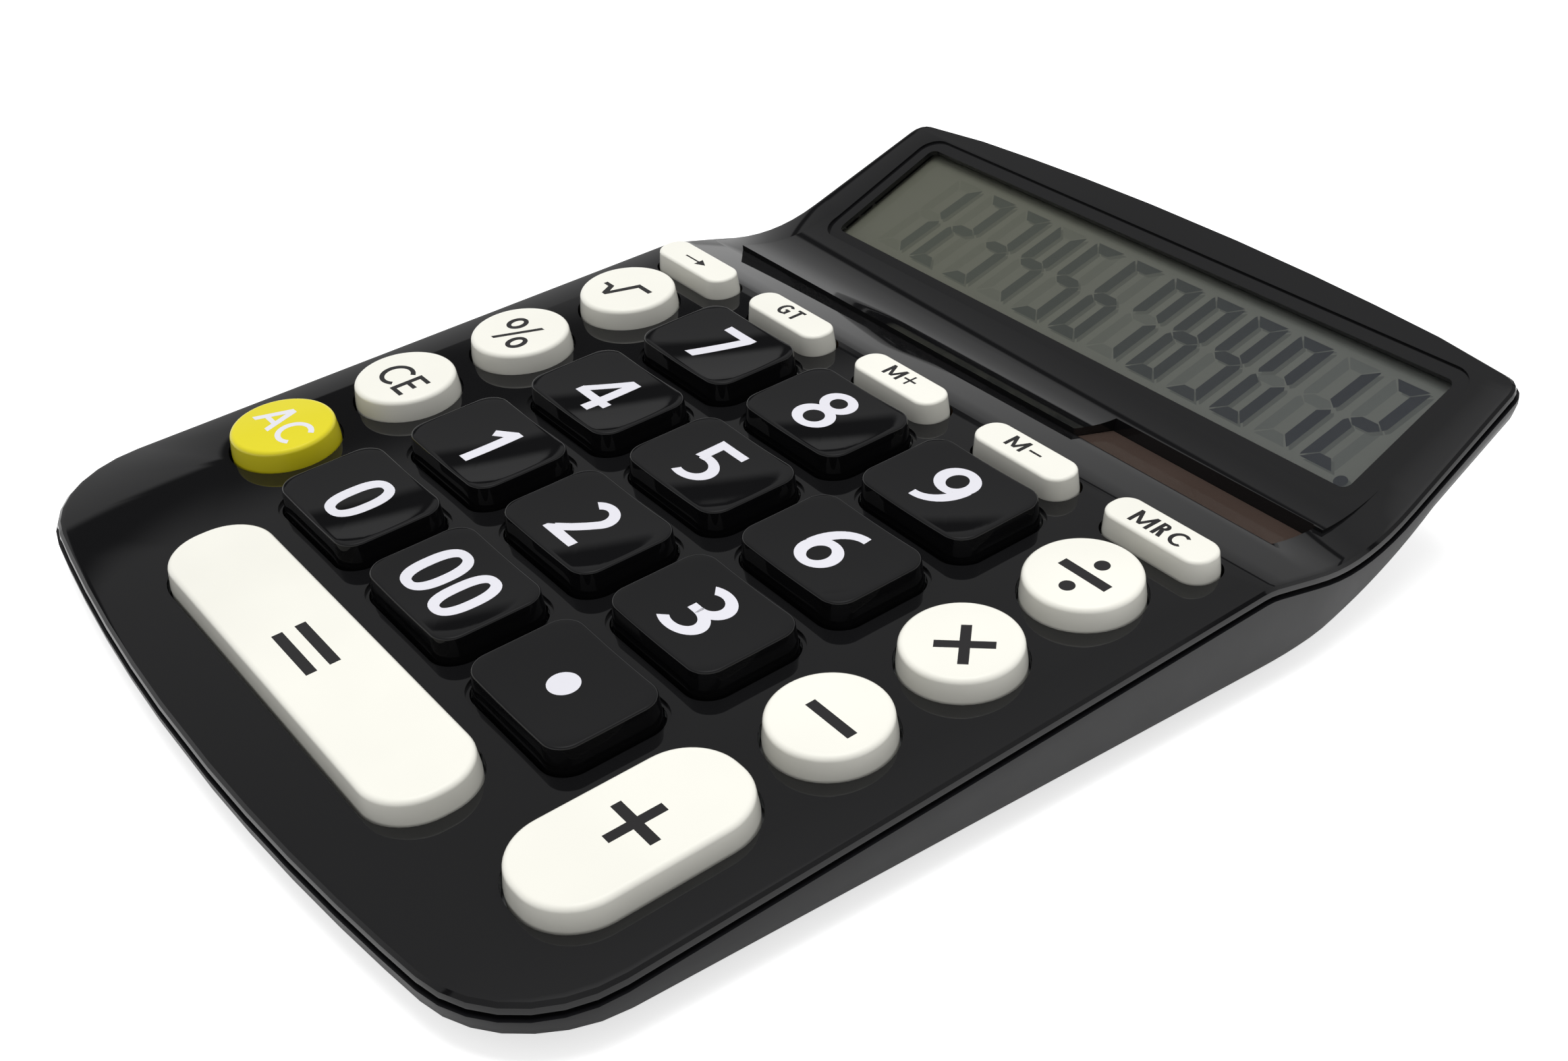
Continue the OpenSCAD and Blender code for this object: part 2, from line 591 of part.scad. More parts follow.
// ================= battery =================
cell_at = [-26, 14];
door = [28, 17, 1.5];
box_in = [cell_d + 1, cell_d + 1];
box_top = floor_t + cell_h + 1.6;
module at_cell() {
    translate([cell_at.x, cell_at.y, 0]) children();
}
module cell_box() at_cell() translate([-box_in.x / 2 - 1.2, -box_in.y / 2 - 1.2, 0.2]) cube([box_in.x + 2.4, box_in.y + 2.4, box_top + 0.8]);
module cell_cut() at_cell() {
    translate([3.5, 0, 0]) plate(door.x + 0.4, door.y + 0.4, 1.6, -1, door.z + 0.05);
    translate([-box_in.x / 2, -box_in.y / 2, -1]) cube([box_in.x, box_in.y, box_top + 1]);
    translate([door.x / 2, 0, -1]) cylinder(r = pilot_r * 0.8, h = 6);
}
module button_cell() color("silver") in_case() on_base() at_cell() translate([0, 0, door.z + 0.15]) {
    cylinder(d = cell_d, h = cell_h - 0.4);
    cylinder(d = cell_d - 2.2, h = cell_h);
}
module upper_contact() color("#c9b26a") in_case() on_base() at_cell() {
    z = door.z + 0.15 + cell_h;
    along_x(-2, 2) polygon([[-4, box_top - 0.25], [-4, box_top - 0.02], [4, box_top - 0.02], [4, box_top - 0.25],
        [1.2, box_top - 0.25], [0, z + 0.03], [-0.5, z + 0.03], [-1.2, box_top - 0.25]]);
}
module lower_contact() color("#c9b26a") in_case() on_base() at_cell()
    translate([-box_in.x / 2 + 0.02, -2, door.z + 0.6]) cube([0.3, 4, cell_h + 0.4]);
module battery_leads() color("firebrick") in_case() for (x = [-1.2, 1.2]) {
    z0 = base_z + box_top + 1.2 - base_fall * cell_at.y;
    translate([cell_at.x + x, cell_at.y, 0]) along_x(-lead_t / 2, lead_t / 2) band([[0, z0], [3, z0],
        [8, board_end - lead_t - 0.05], [12, board_end - lead_t - 0.05]], lead_t);
}
module battery_cover() color("#26272a") in_case() on_base() at_cell() difference() {
    translate([3.5, 0, 0]) plate(door.x, door.y, 1.4, 0.02, door.z);
    translate([door.x / 2, 0, -1]) cylinder(r = pilot_r + 0.2, h = 6);
    translate([door.x / 2, 0, -1]) cylinder(r = 1.6, h = 1.9);
}
module battery_cover_screw() color("silver") in_case() on_base() at_cell()
    translate([door.x / 2, 0, 0.9]) small_screw(2.4);

// ================= fasteners and feet =================
module small_screw(length) {
    translate([0, 0, -0.8]) cylinder(r = 1.4, h = 0.78);
    translate([0, 0, -0.1]) cylinder(r = 0.6, h = length);
}
module case_screws() color("silver") in_case() for (p = case_points)
    translate([p.x, p.y, p[2] - fit - head_seat]) {
        difference() {
            translate([0, 0, -case_head_h]) cylinder(r = case_head_r, h = case_head_h - 0.02);
            translate([0, 0, -case_head_h]) cube([3, 0.6, 1], center = true);
            translate([0, 0, -case_head_h]) cube([0.6, 3, 1], center = true);
        }
        translate([0, 0, -0.1]) cylinder(r = 0.8, h = p[3] - 0.6);
    }
module board_screws() color("silver") in_case() for (p = board_points)
    translate([p.x, p.y, board_end]) small_screw(board_t + 1.6);
foot_x = body_w / 2 - 17.5;
foot_points = [for (s = [-1, 1]) each [[s * foot_x, front_y + 21.5], [s * foot_x, bend_y - 8]]];
module rubber_feet() color("#3a3a3a") in_case() on_base() for (p = foot_points) translate([p.x, p.y, -foot_h])
    rotate_extrude() {
        square([foot_d / 2, foot_h + 0.5 - 0.4]);
        translate([0, 0.2]) square([foot_d / 2 - 0.4, foot_h + 0.38]);
    }

upper_cover();
lower_cover();
display_window();
lcd_panel();
lcd_bracket();
lcd_ribbon();
solar_window();
solar_cell();
solar_leads();
main_board();
controller_chip();
capacitor();
keypad_mat();
button_cell();
upper_contact();
lower_contact();
battery_leads();
battery_cover();
battery_cover_screw();
case_screws();
board_screws();
bracket_screws();
rubber_feet();
key(func_key(-round_x));  // key_backspace
key(func_key(-col_pitch));  // key_grand_total
key(func_key(0));  // key_memory_plus
key(func_key(col_pitch));  // key_memory_minus
key(func_key(round_x));  // key_memory_recall
key(round_key(-1, 1));  // key_root
key(num_key(-1, 1));  // key_7
key(num_key(0, 1));  // key_8
key(num_key(1, 1));  // key_9
key(round_key(1, 1));  // key_divide
key(round_key(-1, 0));  // key_percent
key(num_key(-1, 0));  // key_4
key(num_key(0, 0));  // key_5
key(num_key(1, 0));  // key_6
key(round_key(1, 0));  // key_times
key(round_key(-1, -1));  // key_clear_entry
key(num_key(-1, -1));  // key_1
key(num_key(0, -1));  // key_2
key(num_key(1, -1));  // key_3
key(round_key(1, -1));  // key_minus
key(round_key(-1, -2));  // key_all_clear
key(num_key(-1, -2));  // key_0
key(num_key(0, -2));  // key_00
key(num_key(1, -2));  // key_point
key(plus_key);  // key_plus
key(equals_key);  // key_equals
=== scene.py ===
import math

import bmesh
import bpy
from mathutils import Matrix, Vector


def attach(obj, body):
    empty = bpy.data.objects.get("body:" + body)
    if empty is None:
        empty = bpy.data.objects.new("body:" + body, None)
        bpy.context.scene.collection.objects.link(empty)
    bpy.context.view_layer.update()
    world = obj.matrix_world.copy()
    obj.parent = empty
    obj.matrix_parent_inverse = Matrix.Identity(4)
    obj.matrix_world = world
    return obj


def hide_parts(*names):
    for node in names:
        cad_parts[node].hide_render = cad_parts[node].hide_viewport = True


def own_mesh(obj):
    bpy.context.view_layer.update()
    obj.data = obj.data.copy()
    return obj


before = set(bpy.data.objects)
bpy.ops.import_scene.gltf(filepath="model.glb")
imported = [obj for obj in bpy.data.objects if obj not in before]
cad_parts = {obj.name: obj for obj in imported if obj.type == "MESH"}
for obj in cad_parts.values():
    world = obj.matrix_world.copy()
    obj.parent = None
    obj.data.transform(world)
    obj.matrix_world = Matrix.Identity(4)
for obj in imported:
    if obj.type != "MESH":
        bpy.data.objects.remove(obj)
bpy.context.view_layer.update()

# ---------------------------------------------------------------------------
# Camera. It looks down on the right front corner of the calculator. The key
# deck's own axes serve for it and for all pieces: millimetres across, up the
# slope and off the deck, from the casing's middle at the row of the 5 key.
# ---------------------------------------------------------------------------
MM = 0.001
DECK_TILT = math.radians(4.5)
DECK_PLACE = (0, -9.5443, 15.1562)
CAMERA_PLACE = (204.363, -129.898, 160.62)
CAMERA_AZIMUTH, CAMERA_DROP, CAMERA_ROLL = 55.1424, 35.1527, -4.2597
on_deck = (Matrix.Translation([c * MM for c in DECK_PLACE]) @ Matrix.Rotation(DECK_TILT, 4, "X")
           @ Matrix.Scale(MM, 4))
camera_data = bpy.data.cameras.new("camera")
camera_data.sensor_fit = "HORIZONTAL"
camera_data.sensor_width = 36
camera_data.lens = 43.169
camera_data.clip_start = 0.01
camera = bpy.data.objects.new("camera", camera_data)
camera_turn = (Matrix.Rotation(math.radians(CAMERA_AZIMUTH), 4, "Z")
               @ Matrix.Rotation(math.radians(90 - CAMERA_DROP), 4, "X")
               @ Matrix.Rotation(math.radians(CAMERA_ROLL), 4, "Z"))
camera.matrix_world = (Matrix.Translation(on_deck @ Vector(CAMERA_PLACE))
                       @ Matrix.Rotation(DECK_TILT, 4, "X") @ camera_turn)
bpy.context.scene.collection.objects.link(camera)
bpy.context.scene.camera = camera
bpy.context.scene.view_settings.view_transform = "Standard"


# ---------------------------------------------------------------------------
# Floor and studio light. A white table stands in a pale room under one broad
# soft box. The table shows as white and keeps a soft shadow, and the glossy
# casing mirrors the room, which has a dark band part of the way up.
# ---------------------------------------------------------------------------
class Signal:
    """A socket of a material, with arithmetic that adds its Math nodes."""

    def __init__(self, wiring, socket):
        self.wiring, self.socket = wiring, socket

    def math(self, operation, *others):
        return self.wiring.node("ShaderNodeMath", {"operation": operation}, [self, *others])

    def __add__(self, other):
        return self.math("ADD", other)

    def __sub__(self, other):
        return self.math("SUBTRACT", other)

    def __rsub__(self, other):
        return self.wiring.node("ShaderNodeMath", {"operation": "SUBTRACT"}, [other, self])

    def __mul__(self, other):
        return self.math("MULTIPLY", other)

    __radd__ = __add__
    __rmul__ = __mul__


class Wiring:
    """The node tree of a material or of the world."""

    def __init__(self, owner):
        self.owner = owner
        owner.use_nodes = True
        self.tree = owner.node_tree
        self.tree.nodes.clear()

    def node(self, kind, settings=None, sockets=(), out=0):
        """Adds a node with its settings, then gives its sockets their values or links."""
        made = self.tree.nodes.new(kind)
        for name, value in (settings or {}).items():
            if name == "stops":
                ramp = made.color_ramp.elements
                while len(ramp) < len(value):
                    ramp.new(1)
                for element, (place, colour) in zip(ramp, value):
                    element.position = place
                    element.color = colour
            else:
                setattr(made, name, value)
        pairs = sockets.items() if isinstance(sockets, dict) else enumerate(sockets)
        for name, value in pairs:
            if isinstance(value, Signal):
                self.tree.links.new(value.socket, made.inputs[name])
            else:
                made.inputs[name].default_value = value
        return Signal(self, made.outputs[out])

    def noise(self, scale, detail):
        """Cloudy pattern fixed to the piece, finer with a larger scale."""
        place = self.node("ShaderNodeTexCoord", out="Object")
        return self.node("ShaderNodeTexNoise", sockets={"Vector": place, "Scale": scale, "Detail": detail},
                         out="Fac")

    def mix(self, share, first, second, blend="MIX"):
        """Colour that goes from the first to the second with the share."""
        return self.node("ShaderNodeMix", {"data_type": "RGBA", "blend_type": blend},
                         {"Factor": share, "A": first, "B": second}, out="Result")

    def finish(self, kind, surface):
        """Wires the surface to the output and returns the material or the world."""
        self.tree.links.new(surface.socket, self.tree.nodes.new(kind).inputs["Surface"])
        return self.owner


def paint(colour, share=1):
    """Colour for a socket, made darker or lighter by a share."""
    return *[c * share for c in colour], 1


def finished_mesh(name, bm, *materials):
    """Object at the origin from a bmesh, linked to the scene."""
    mesh = bpy.data.meshes.new(name)
    bm.to_mesh(mesh)
    bm.free()
    piece = bpy.data.objects.new(name, mesh)
    for material in materials:
        mesh.materials.append(material)
    bpy.context.scene.collection.objects.link(piece)
    return piece


WHITE = (1, 1, 1, 1)
TABLE_COLOUR = (0.86, 0.86, 0.86)
TABLE_HALF = 3
TABLE_GLOW = 0.66
table_top = Wiring(bpy.data.materials.new("table_white"))
seen = table_top.node("ShaderNodeLightPath", out="Is Camera Ray")
matt = table_top.node("ShaderNodeBsdfDiffuse", sockets={"Color": paint(TABLE_COLOUR)})
glow = table_top.node("ShaderNodeEmission", sockets={"Color": WHITE, "Strength": TABLE_GLOW * seen})
table_white = table_top.finish("ShaderNodeOutputMaterial",
                               table_top.node("ShaderNodeAddShader", sockets=[matt, glow]))
bm = bmesh.new()
bmesh.ops.create_grid(bm, x_segments=1, y_segments=1, size=TABLE_HALF)
table = finished_mesh("table", bm, table_white)

# Brightness of the mirrored room by the height of the direction: 0 is level and 1 straight up.
MIRRORED = ((0.0, 0.8), (0.3, 0.45), (0.49, 0.34), (0.505, 0.03), (0.533, 0.03), (0.549, 0.27),
            (0.7, 0.27), (0.9, 0.4), (1.0, 0.9))
ROOM_LIGHT = 0.5
room = Wiring(bpy.data.worlds.new("room"))
rays = {kind: room.node("ShaderNodeLightPath", out=f"Is {kind} Ray") for kind in ("Camera", "Glossy")}
direction = room.node("ShaderNodeTexCoord", out="Generated")
up = room.node("ShaderNodeSeparateXYZ", sockets=[direction], out="Z")
walls = room.node("ShaderNodeValToRGB", {"stops": [(z, paint((v, v, v))) for z, v in MIRRORED]}, [up])
strength = ROOM_LIGHT + (1 - ROOM_LIGHT) * rays["Camera"] + (walls - ROOM_LIGHT) * rays["Glossy"]
backdrop = room.node("ShaderNodeBackground", sockets={"Color": WHITE, "Strength": strength})
bpy.context.scene.world = room.finish("ShaderNodeOutputWorld", backdrop)

BOX_SIDE, BOX_PLACE, BOX_POWER = 0.8, Vector((-0.05, 0.05, 1.3)), 13
lamp = bpy.data.lights.new("overhead_box", "AREA")
lamp.shape = "SQUARE"
lamp.size = BOX_SIDE
lamp.energy = BOX_POWER
soft_box = bpy.data.objects.new("overhead_box", lamp)
soft_box.matrix_world = Matrix.Translation(BOX_PLACE) @ BOX_PLACE.to_track_quat("Z", "Y").to_matrix().to_4x4()
soft_box.visible_glossy = False
bpy.context.scene.collection.objects.link(soft_box)


# ---------------------------------------------------------------------------
# Upper cover. One glossy black plastic moulding: deck, bend, valley, raised
# display face, brow and solar recess. It is pressed onto the lower cover and
# screwed to it from below.
# ---------------------------------------------------------------------------
def glossy_plastic(name, colour, roughness, grain=0.012, gloss=0.5):
    """Moulded plastic: faint cloudiness, rubbed patches and a very fine grain, whose depth is in mm."""
    wiring = Wiring(bpy.data.materials.new(name))
    shade = wiring.mix(wiring.noise(28, 3), paint(colour, 0.9), paint(colour, 1.08))
    rubbed = wiring.noise(160, 4)
    bump = wiring.node("ShaderNodeBump", sockets={
        "Strength": 0.06, "Distance": grain * MM, "Height": wiring.noise(3800, 1)}, out="Normal")
    skin = wiring.node("ShaderNodeBsdfPrincipled", sockets={
        "Base Color": shade, "Roughness": roughness * 0.8 + roughness * 0.4 * rubbed, "IOR": 1.5,
        "Specular IOR Level": gloss, "Normal": bump})
    return wiring.finish("ShaderNodeOutputMaterial", skin)


def smoothed(bm, crease):
    """Smooth shading, with an edge left sharp where the surface turns by crease degrees or more."""
    for face in bm.faces:
        face.smooth = True
    for edge in bm.edges:
        edge.smooth = edge.calc_face_angle(math.pi) < math.radians(crease)


def welded(node):
    """Copy of a CAD piece's mesh with its loose triangles joined up."""
    bm = bmesh.new()
    bm.from_mesh(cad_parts[node].data)
    bmesh.ops.remove_doubles(bm, verts=bm.verts, dist=0.002 * MM)
    return bm


def merged_copy(node, name, material, crease):
    """Piece of the casing that takes the place of its CAD piece, shaded smooth between creases."""
    bm = welded(node)
    smoothed(bm, crease)
    for face in bm.faces:
        face.material_index = 0
    piece = finished_mesh(name, bm, material)
    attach(piece, "casing")
    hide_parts(node)
    return piece


COVER_CREASE = 24
casing_black = glossy_plastic("casing_black", (0.0055, 0.0055, 0.006), 0.03, 0.003)
upper_shell = merged_copy("upper_cover", "upper_shell", casing_black, COVER_CREASE)

# ---------------------------------------------------------------------------
# Lower cover. A near-black plastic tray with a rounded belly, less glossy than
# the upper cover; its rim shows under the seam groove, and it holds the screws.
# ---------------------------------------------------------------------------
tray_grey = glossy_plastic("tray_grey", (0.006, 0.006, 0.007), 0.3, gloss=0.35)
lower_shell = merged_copy("lower_cover", "lower_shell", tray_grey, COVER_CREASE)


# ---------------------------------------------------------------------------
# Keys. Each cap is one hollow plastic moulding, kept in by a collar under the
# deck, with drafted sides and a rounded upper edge. The number keys are black
# with a shallow hollow on top, and the others are white, but for a yellow one.
# ---------------------------------------------------------------------------
MIDDLE, COLUMN, ROW, ROUND_COLUMN, FUNCTION_ROW = -0.35, 29.5, 22.5, 57.5, 38.0
KEY_BOTTOM, COLLAR_TOP, NUMBER_TOP, WHITE_TOP = -2.75, -2.05, 3.8, 3.5
DRAFT, COLLAR, CAP_WALL = 0.3, 1.55, 1.3
NUMBER_SIZE, ROUND_SIZE, FUNCTION_SIZE = (24.1, 17.4), (17.2, 17.2), (19.6, 6.4)
EQUALS_SIZE, PLUS_SIZE, PLUS_ROW = (74.6, 16.1), (17.2, 32.9), -52.85
NUMBER_CORNER, ROUND_CORNER, FUNCTION_CORNER, EQUALS_CORNER, PLUS_CORNER = 3.5, 8.6, 2.9, 7.45, 8.0
NUMBER_EDGE, WHITE_EDGE, FUNCTION_EDGE, EDGE_STEPS = 0.4, 0.9, 0.6, 7
HOLLOW, BOWL_RADIUS, BOWL_BLEND, BOWL_RINGS = 0.4, 181.5, 0.03, 24
LONG_SIDE, SIDE_STEP, CAP_CREASE = 3, 1.6, 28
number_black = glossy_plastic("number_black", (0.0045, 0.0045, 0.005), 0.025, 0.002)
key_white = glossy_plastic("key_white", (0.87, 0.86, 0.785), 0.2)
key_yellow = glossy_plastic("key_yellow", (0.75, 0.66, 0.02), 0.2)

# Each key has the place of its middle, the size of its top, its corner radius and its height.
NUMBER_ROWS = (("7", "8", "9"), ("4", "5", "6"), ("1", "2", "3"), ("0", "00", "point"))
ROUND_ROWS = (("root", "divide"), ("percent", "times"), ("clear_entry", "minus"), ("all_clear",))
FUNCTION_KEYS = ((-ROUND_COLUMN, "backspace"), (-COLUMN, "grand_total"), (0, "memory_plus"),
                 (COLUMN, "memory_minus"), (ROUND_COLUMN, "memory_recall"))
keys = {}
for row, names in enumerate(NUMBER_ROWS):
    for column, name in enumerate(names):
        middle = (MIDDLE + (column - 1) * COLUMN, (1 - row) * ROW)
        keys["key_" + name] = middle, NUMBER_SIZE, NUMBER_CORNER, NUMBER_TOP
for row, names in enumerate(ROUND_ROWS):
    for side, name in zip((-1, 1), names):
        middle = (MIDDLE + side * ROUND_COLUMN, (1 - row) * ROW)
        keys["key_" + name] = middle, ROUND_SIZE, ROUND_CORNER, WHITE_TOP
for x, name in FUNCTION_KEYS:
    keys["key_" + name] = (MIDDLE + x, FUNCTION_ROW), FUNCTION_SIZE, FUNCTION_CORNER, WHITE_TOP
keys["key_equals"] = (MIDDLE, -3 * ROW), EQUALS_SIZE, EQUALS_CORNER, WHITE_TOP
keys["key_plus"] = (MIDDLE + ROUND_COLUMN, PLUS_ROW), PLUS_SIZE, PLUS_CORNER, WHITE_TOP


def next_face(bm, face):
    """Extrudes the end face of a cap and returns the new end face, still in the same place."""
    made = bmesh.ops.extrude_face_region(bm, geom=[face])["geom"]
    bmesh.ops.delete(bm, geom=[face], context="FACES_ONLY")
    end = next(g for g in made if isinstance(g, bmesh.types.BMFace))
    end.normal_update()
    return end


def inset(bm, face, inward, z):
    """Next ring of a cap: its outline moves inward by a distance, to a new height."""
    end = next_face(bm, face)
    corners = [v.co.copy() for v in end.verts]
    side = math.copysign(inward, end.normal.z)
    for v, before, here, after in zip(end.verts, corners[-1:] + corners, corners, corners[1:] + corners[:1]):
        along = ((here - before).normalized() + (after - here).normalized()).normalized()
        v.co = Vector((here.x - along.y * side, here.y + along.x * side, z))
    return end


def hollow_z(x, y):
    """Height of a number key's top: a round bowl that levels out at the corners."""
    above = (x * x + y * y) / (2 * BOWL_RADIUS) - HOLLOW
    return NUMBER_TOP + (above - math.hypot(above, BOWL_BLEND)) / 2


def shrunk(bm, face, share):
    """Next ring of a number key's top: its outline shrinks to a share about the middle, on the bowl."""
    end = next_face(bm, face)
    for v in end.verts:
        v.co = Vector((v.co.x * share, v.co.y * share, hollow_z(v.co.x * share, v.co.y * share)))
    return end


def key_cap(name, edge_r, hollow, material):
    """Cap of a key, with its upper edge rounded to edge_r and its top hollow or flat."""
    place, (width, depth), corner, height = keys[name]
    bm = bmesh.new()
    if corner * 2 >= width:
        bmesh.ops.create_circle(bm, cap_ends=True, segments=72, radius=width / 2 + DRAFT)
    else:
        bmesh.ops.create_grid(bm, x_segments=1, y_segments=1, size=0.5)
        bmesh.ops.scale(bm, vec=(width + 2 * DRAFT, depth + 2 * DRAFT, 1), verts=bm.verts)
        bmesh.ops.bevel(bm, geom=bm.verts[:], affect="VERTICES", offset=corner + DRAFT, segments=14,
                        profile=0.5, material=-1)
        bmesh.ops.remove_doubles(bm, verts=bm.verts, dist=1e-4)
        for edge in [e for e in bm.edges if e.calc_length() > LONG_SIDE]:
            bmesh.ops.subdivide_edges(bm, edges=[edge], cuts=int(edge.calc_length() / SIDE_STEP))
    bmesh.ops.translate(bm, verts=bm.verts, vec=(0, 0, COLLAR_TOP))
    edge_z = height - edge_r
    top = inset(bm, bm.faces[:][0], 0, 0)
    top = inset(bm, top, DRAFT, edge_z)
    turns = [math.radians(90 * k / EDGE_STEPS) for k in range(EDGE_STEPS + 1)]
    for before, after in zip(turns, turns[1:]):
        inward = edge_r * (math.cos(before) - math.cos(after))
        top = inset(bm, top, inward, edge_z + edge_r * math.sin(after))
    if hollow:
        for v in bm.verts:
            if v.co.z > edge_z - 0.01:
                v.co.z += hollow_z(v.co.x, v.co.y) - height
        for ring in range(BOWL_RINGS, 1, -1):
            top = shrunk(bm, top, ring / (ring + 1))
    under = bmesh.ops.contextual_create(bm, geom=[e for e in bm.edges if e.is_boundary])["faces"][0]
    for inward, z in ((DRAFT - COLLAR, COLLAR_TOP), (0, KEY_BOTTOM), (COLLAR + CAP_WALL, KEY_BOTTOM),
                      (0, height - CAP_WALL - hollow)):
        under = inset(bm, under, inward, z)
    bmesh.ops.recalc_face_normals(bm, faces=bm.faces)
    smoothed(bm, CAP_CREASE)
    bmesh.ops.transform(bm, matrix=on_deck @ Matrix.Translation((*place, 0)), verts=bm.verts)
    cap = finished_mesh(name + "_cap", bm, material)
    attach(cap, name)
    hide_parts(name)


for name, (_, size, _, height) in keys.items():
    if height == NUMBER_TOP:
        key_cap(name, NUMBER_EDGE, HOLLOW, number_black)
    elif name == "key_all_clear":
        key_cap(name, WHITE_EDGE, 0, key_yellow)
    else:
        key_cap(name, FUNCTION_EDGE if size == FUNCTION_SIZE else WHITE_EDGE, 0, key_white)


# ---------------------------------------------------------------------------
# Key legends. They are printed on the keys, white on the number keys and dark
# grey on the white ones. The strokes of a legend are flat ribbons and plates,
# joined to one thin print that follows the key's top.
# ---------------------------------------------------------------------------
PRINT, PRINT_SUNK, PRINT_CREASE = 0.03, 0.35, 30
CUTS, CUT_STEP = 5, 1.4
ARC_STEP, ARC_LEAST = 8, 6
BOLD, BOLD_TOP, MEDIUM, WHITE_PEN, FINE = (1.04, 0.75), (0.98, 0.72), (0.5, 0.4), (0.56, 0.45), (0.34, 0.25)
# The white print is given a darker lilac grey: the print's white with painted shade in it.
white_print_painted_shade = glossy_plastic("white_print_painted_shade", (0.74, 0.735, 0.79), 0.4)
legend_grey = glossy_plastic("legend_grey", (0.016, 0.015, 0.016), 0.4)
pen_tip = bpy.data.objects.new("pen_tip", bpy.data.curves.new("pen_tip", "CURVE"))
nib = pen_tip.data.splines.new("POLY").points
nib.add(1)
nib[0].co = (-1, 0, 0, 1)
nib[1].co = (1, 0, 0, 1)


def arc(x, y, wide, high, start, end, squareness=1.0):
    """Points of an elliptical arc, degrees anticlockwise from +X; squareness under 1 fills its corners."""
    count = max(ARC_LEAST, int(abs(end - start) / ARC_STEP))
    points = []
    for k in range(count + 1):
        a = math.radians(start + (end - start) * k / count)
        c, s = math.cos(a), math.sin(a)
        across = wide * math.copysign(abs(c) ** squareness, c)
        along = high * math.copysign(abs(s) ** squareness, s)
        points.append((x + across, y + along))
    return points


def stroke(points, pen, closed=False):
    """Ribbon drawn along points with a pen of the given half width and half height."""
    path = bpy.data.curves.new("stroke", "CURVE")
    path.dimensions, path.twist_mode = "3D", "Z_UP"
    path.bevel_mode, path.bevel_object = "OBJECT", pen_tip
    line = path.splines.new("POLY")
    line.points.add(len(points) - 1)
    for point, (x, y) in zip(line.points, points):
        point.co = (x / pen[0], y / pen[1], 0, 1)
    line.use_cyclic_u = closed
    holder = bpy.data.objects.new("stroke", path)
    bpy.context.scene.collection.objects.link(holder)
    bpy.context.view_layer.update()
    bm = bmesh.new()
    bm.from_mesh(holder.evaluated_get(bpy.context.evaluated_depsgraph_get()).to_mesh())
    bpy.data.objects.remove(holder)
    bmesh.ops.scale(bm, vec=(*pen, 1), verts=bm.verts)
    return bm


def outline(corners):
    """Plate with straight sides."""
    bm = bmesh.new()
    bm.faces.new([bm.verts.new((x, y, 0)) for x, y in corners])
    return bm


def bar(left, front, right, back):
    """Oblong plate."""
    return outline([(left, front), (right, front), (right, back), (left, back)])


def dot(x, y, radius):
    """Round plate."""
    bm = bmesh.new()
    bmesh.ops.create_circle(bm, cap_ends=True, segments=40, radius=radius)
    bmesh.ops.translate(bm, verts=bm.verts, vec=(x, y, 0))
    return bm


def thickened(bm, thickness):
    """Gives flat plates or a ribbon a thickness."""
    bmesh.ops.remove_doubles(bm, verts=bm.verts, dist=1e-5)
    made = bmesh.ops.extrude_face_region(bm, geom=bm.faces[:])["geom"]
    raised = [g for g in made if isinstance(g, bmesh.types.BMVert)]
    bmesh.ops.translate(bm, verts=raised, vec=(0, 0, thickness))
    bmesh.ops.recalc_face_normals(bm, faces=bm.faces)
    return bm


def joined(strokes):
    """One solid, a unit thick, from overlapping strokes."""
    whole = finished_mesh("legend", thickened(strokes[0], 1))
    for bm in strokes[1:]:
        other = finished_mesh("stroke", thickened(bm, 1))
        union = whole.modifiers.new("union", "BOOLEAN")
        union.operation, union.solver, union.object = "UNION", "EXACT", other
        bpy.context.view_layer.update()
        mesh = bpy.data.meshes.new_from_object(whole.evaluated_get(bpy.context.evaluated_depsgraph_get()))
        whole.modifiers.clear()
        whole.data = mesh
        bpy.data.objects.remove(other)
    mesh = whole.data
    bpy.data.objects.remove(whole)
    return mesh


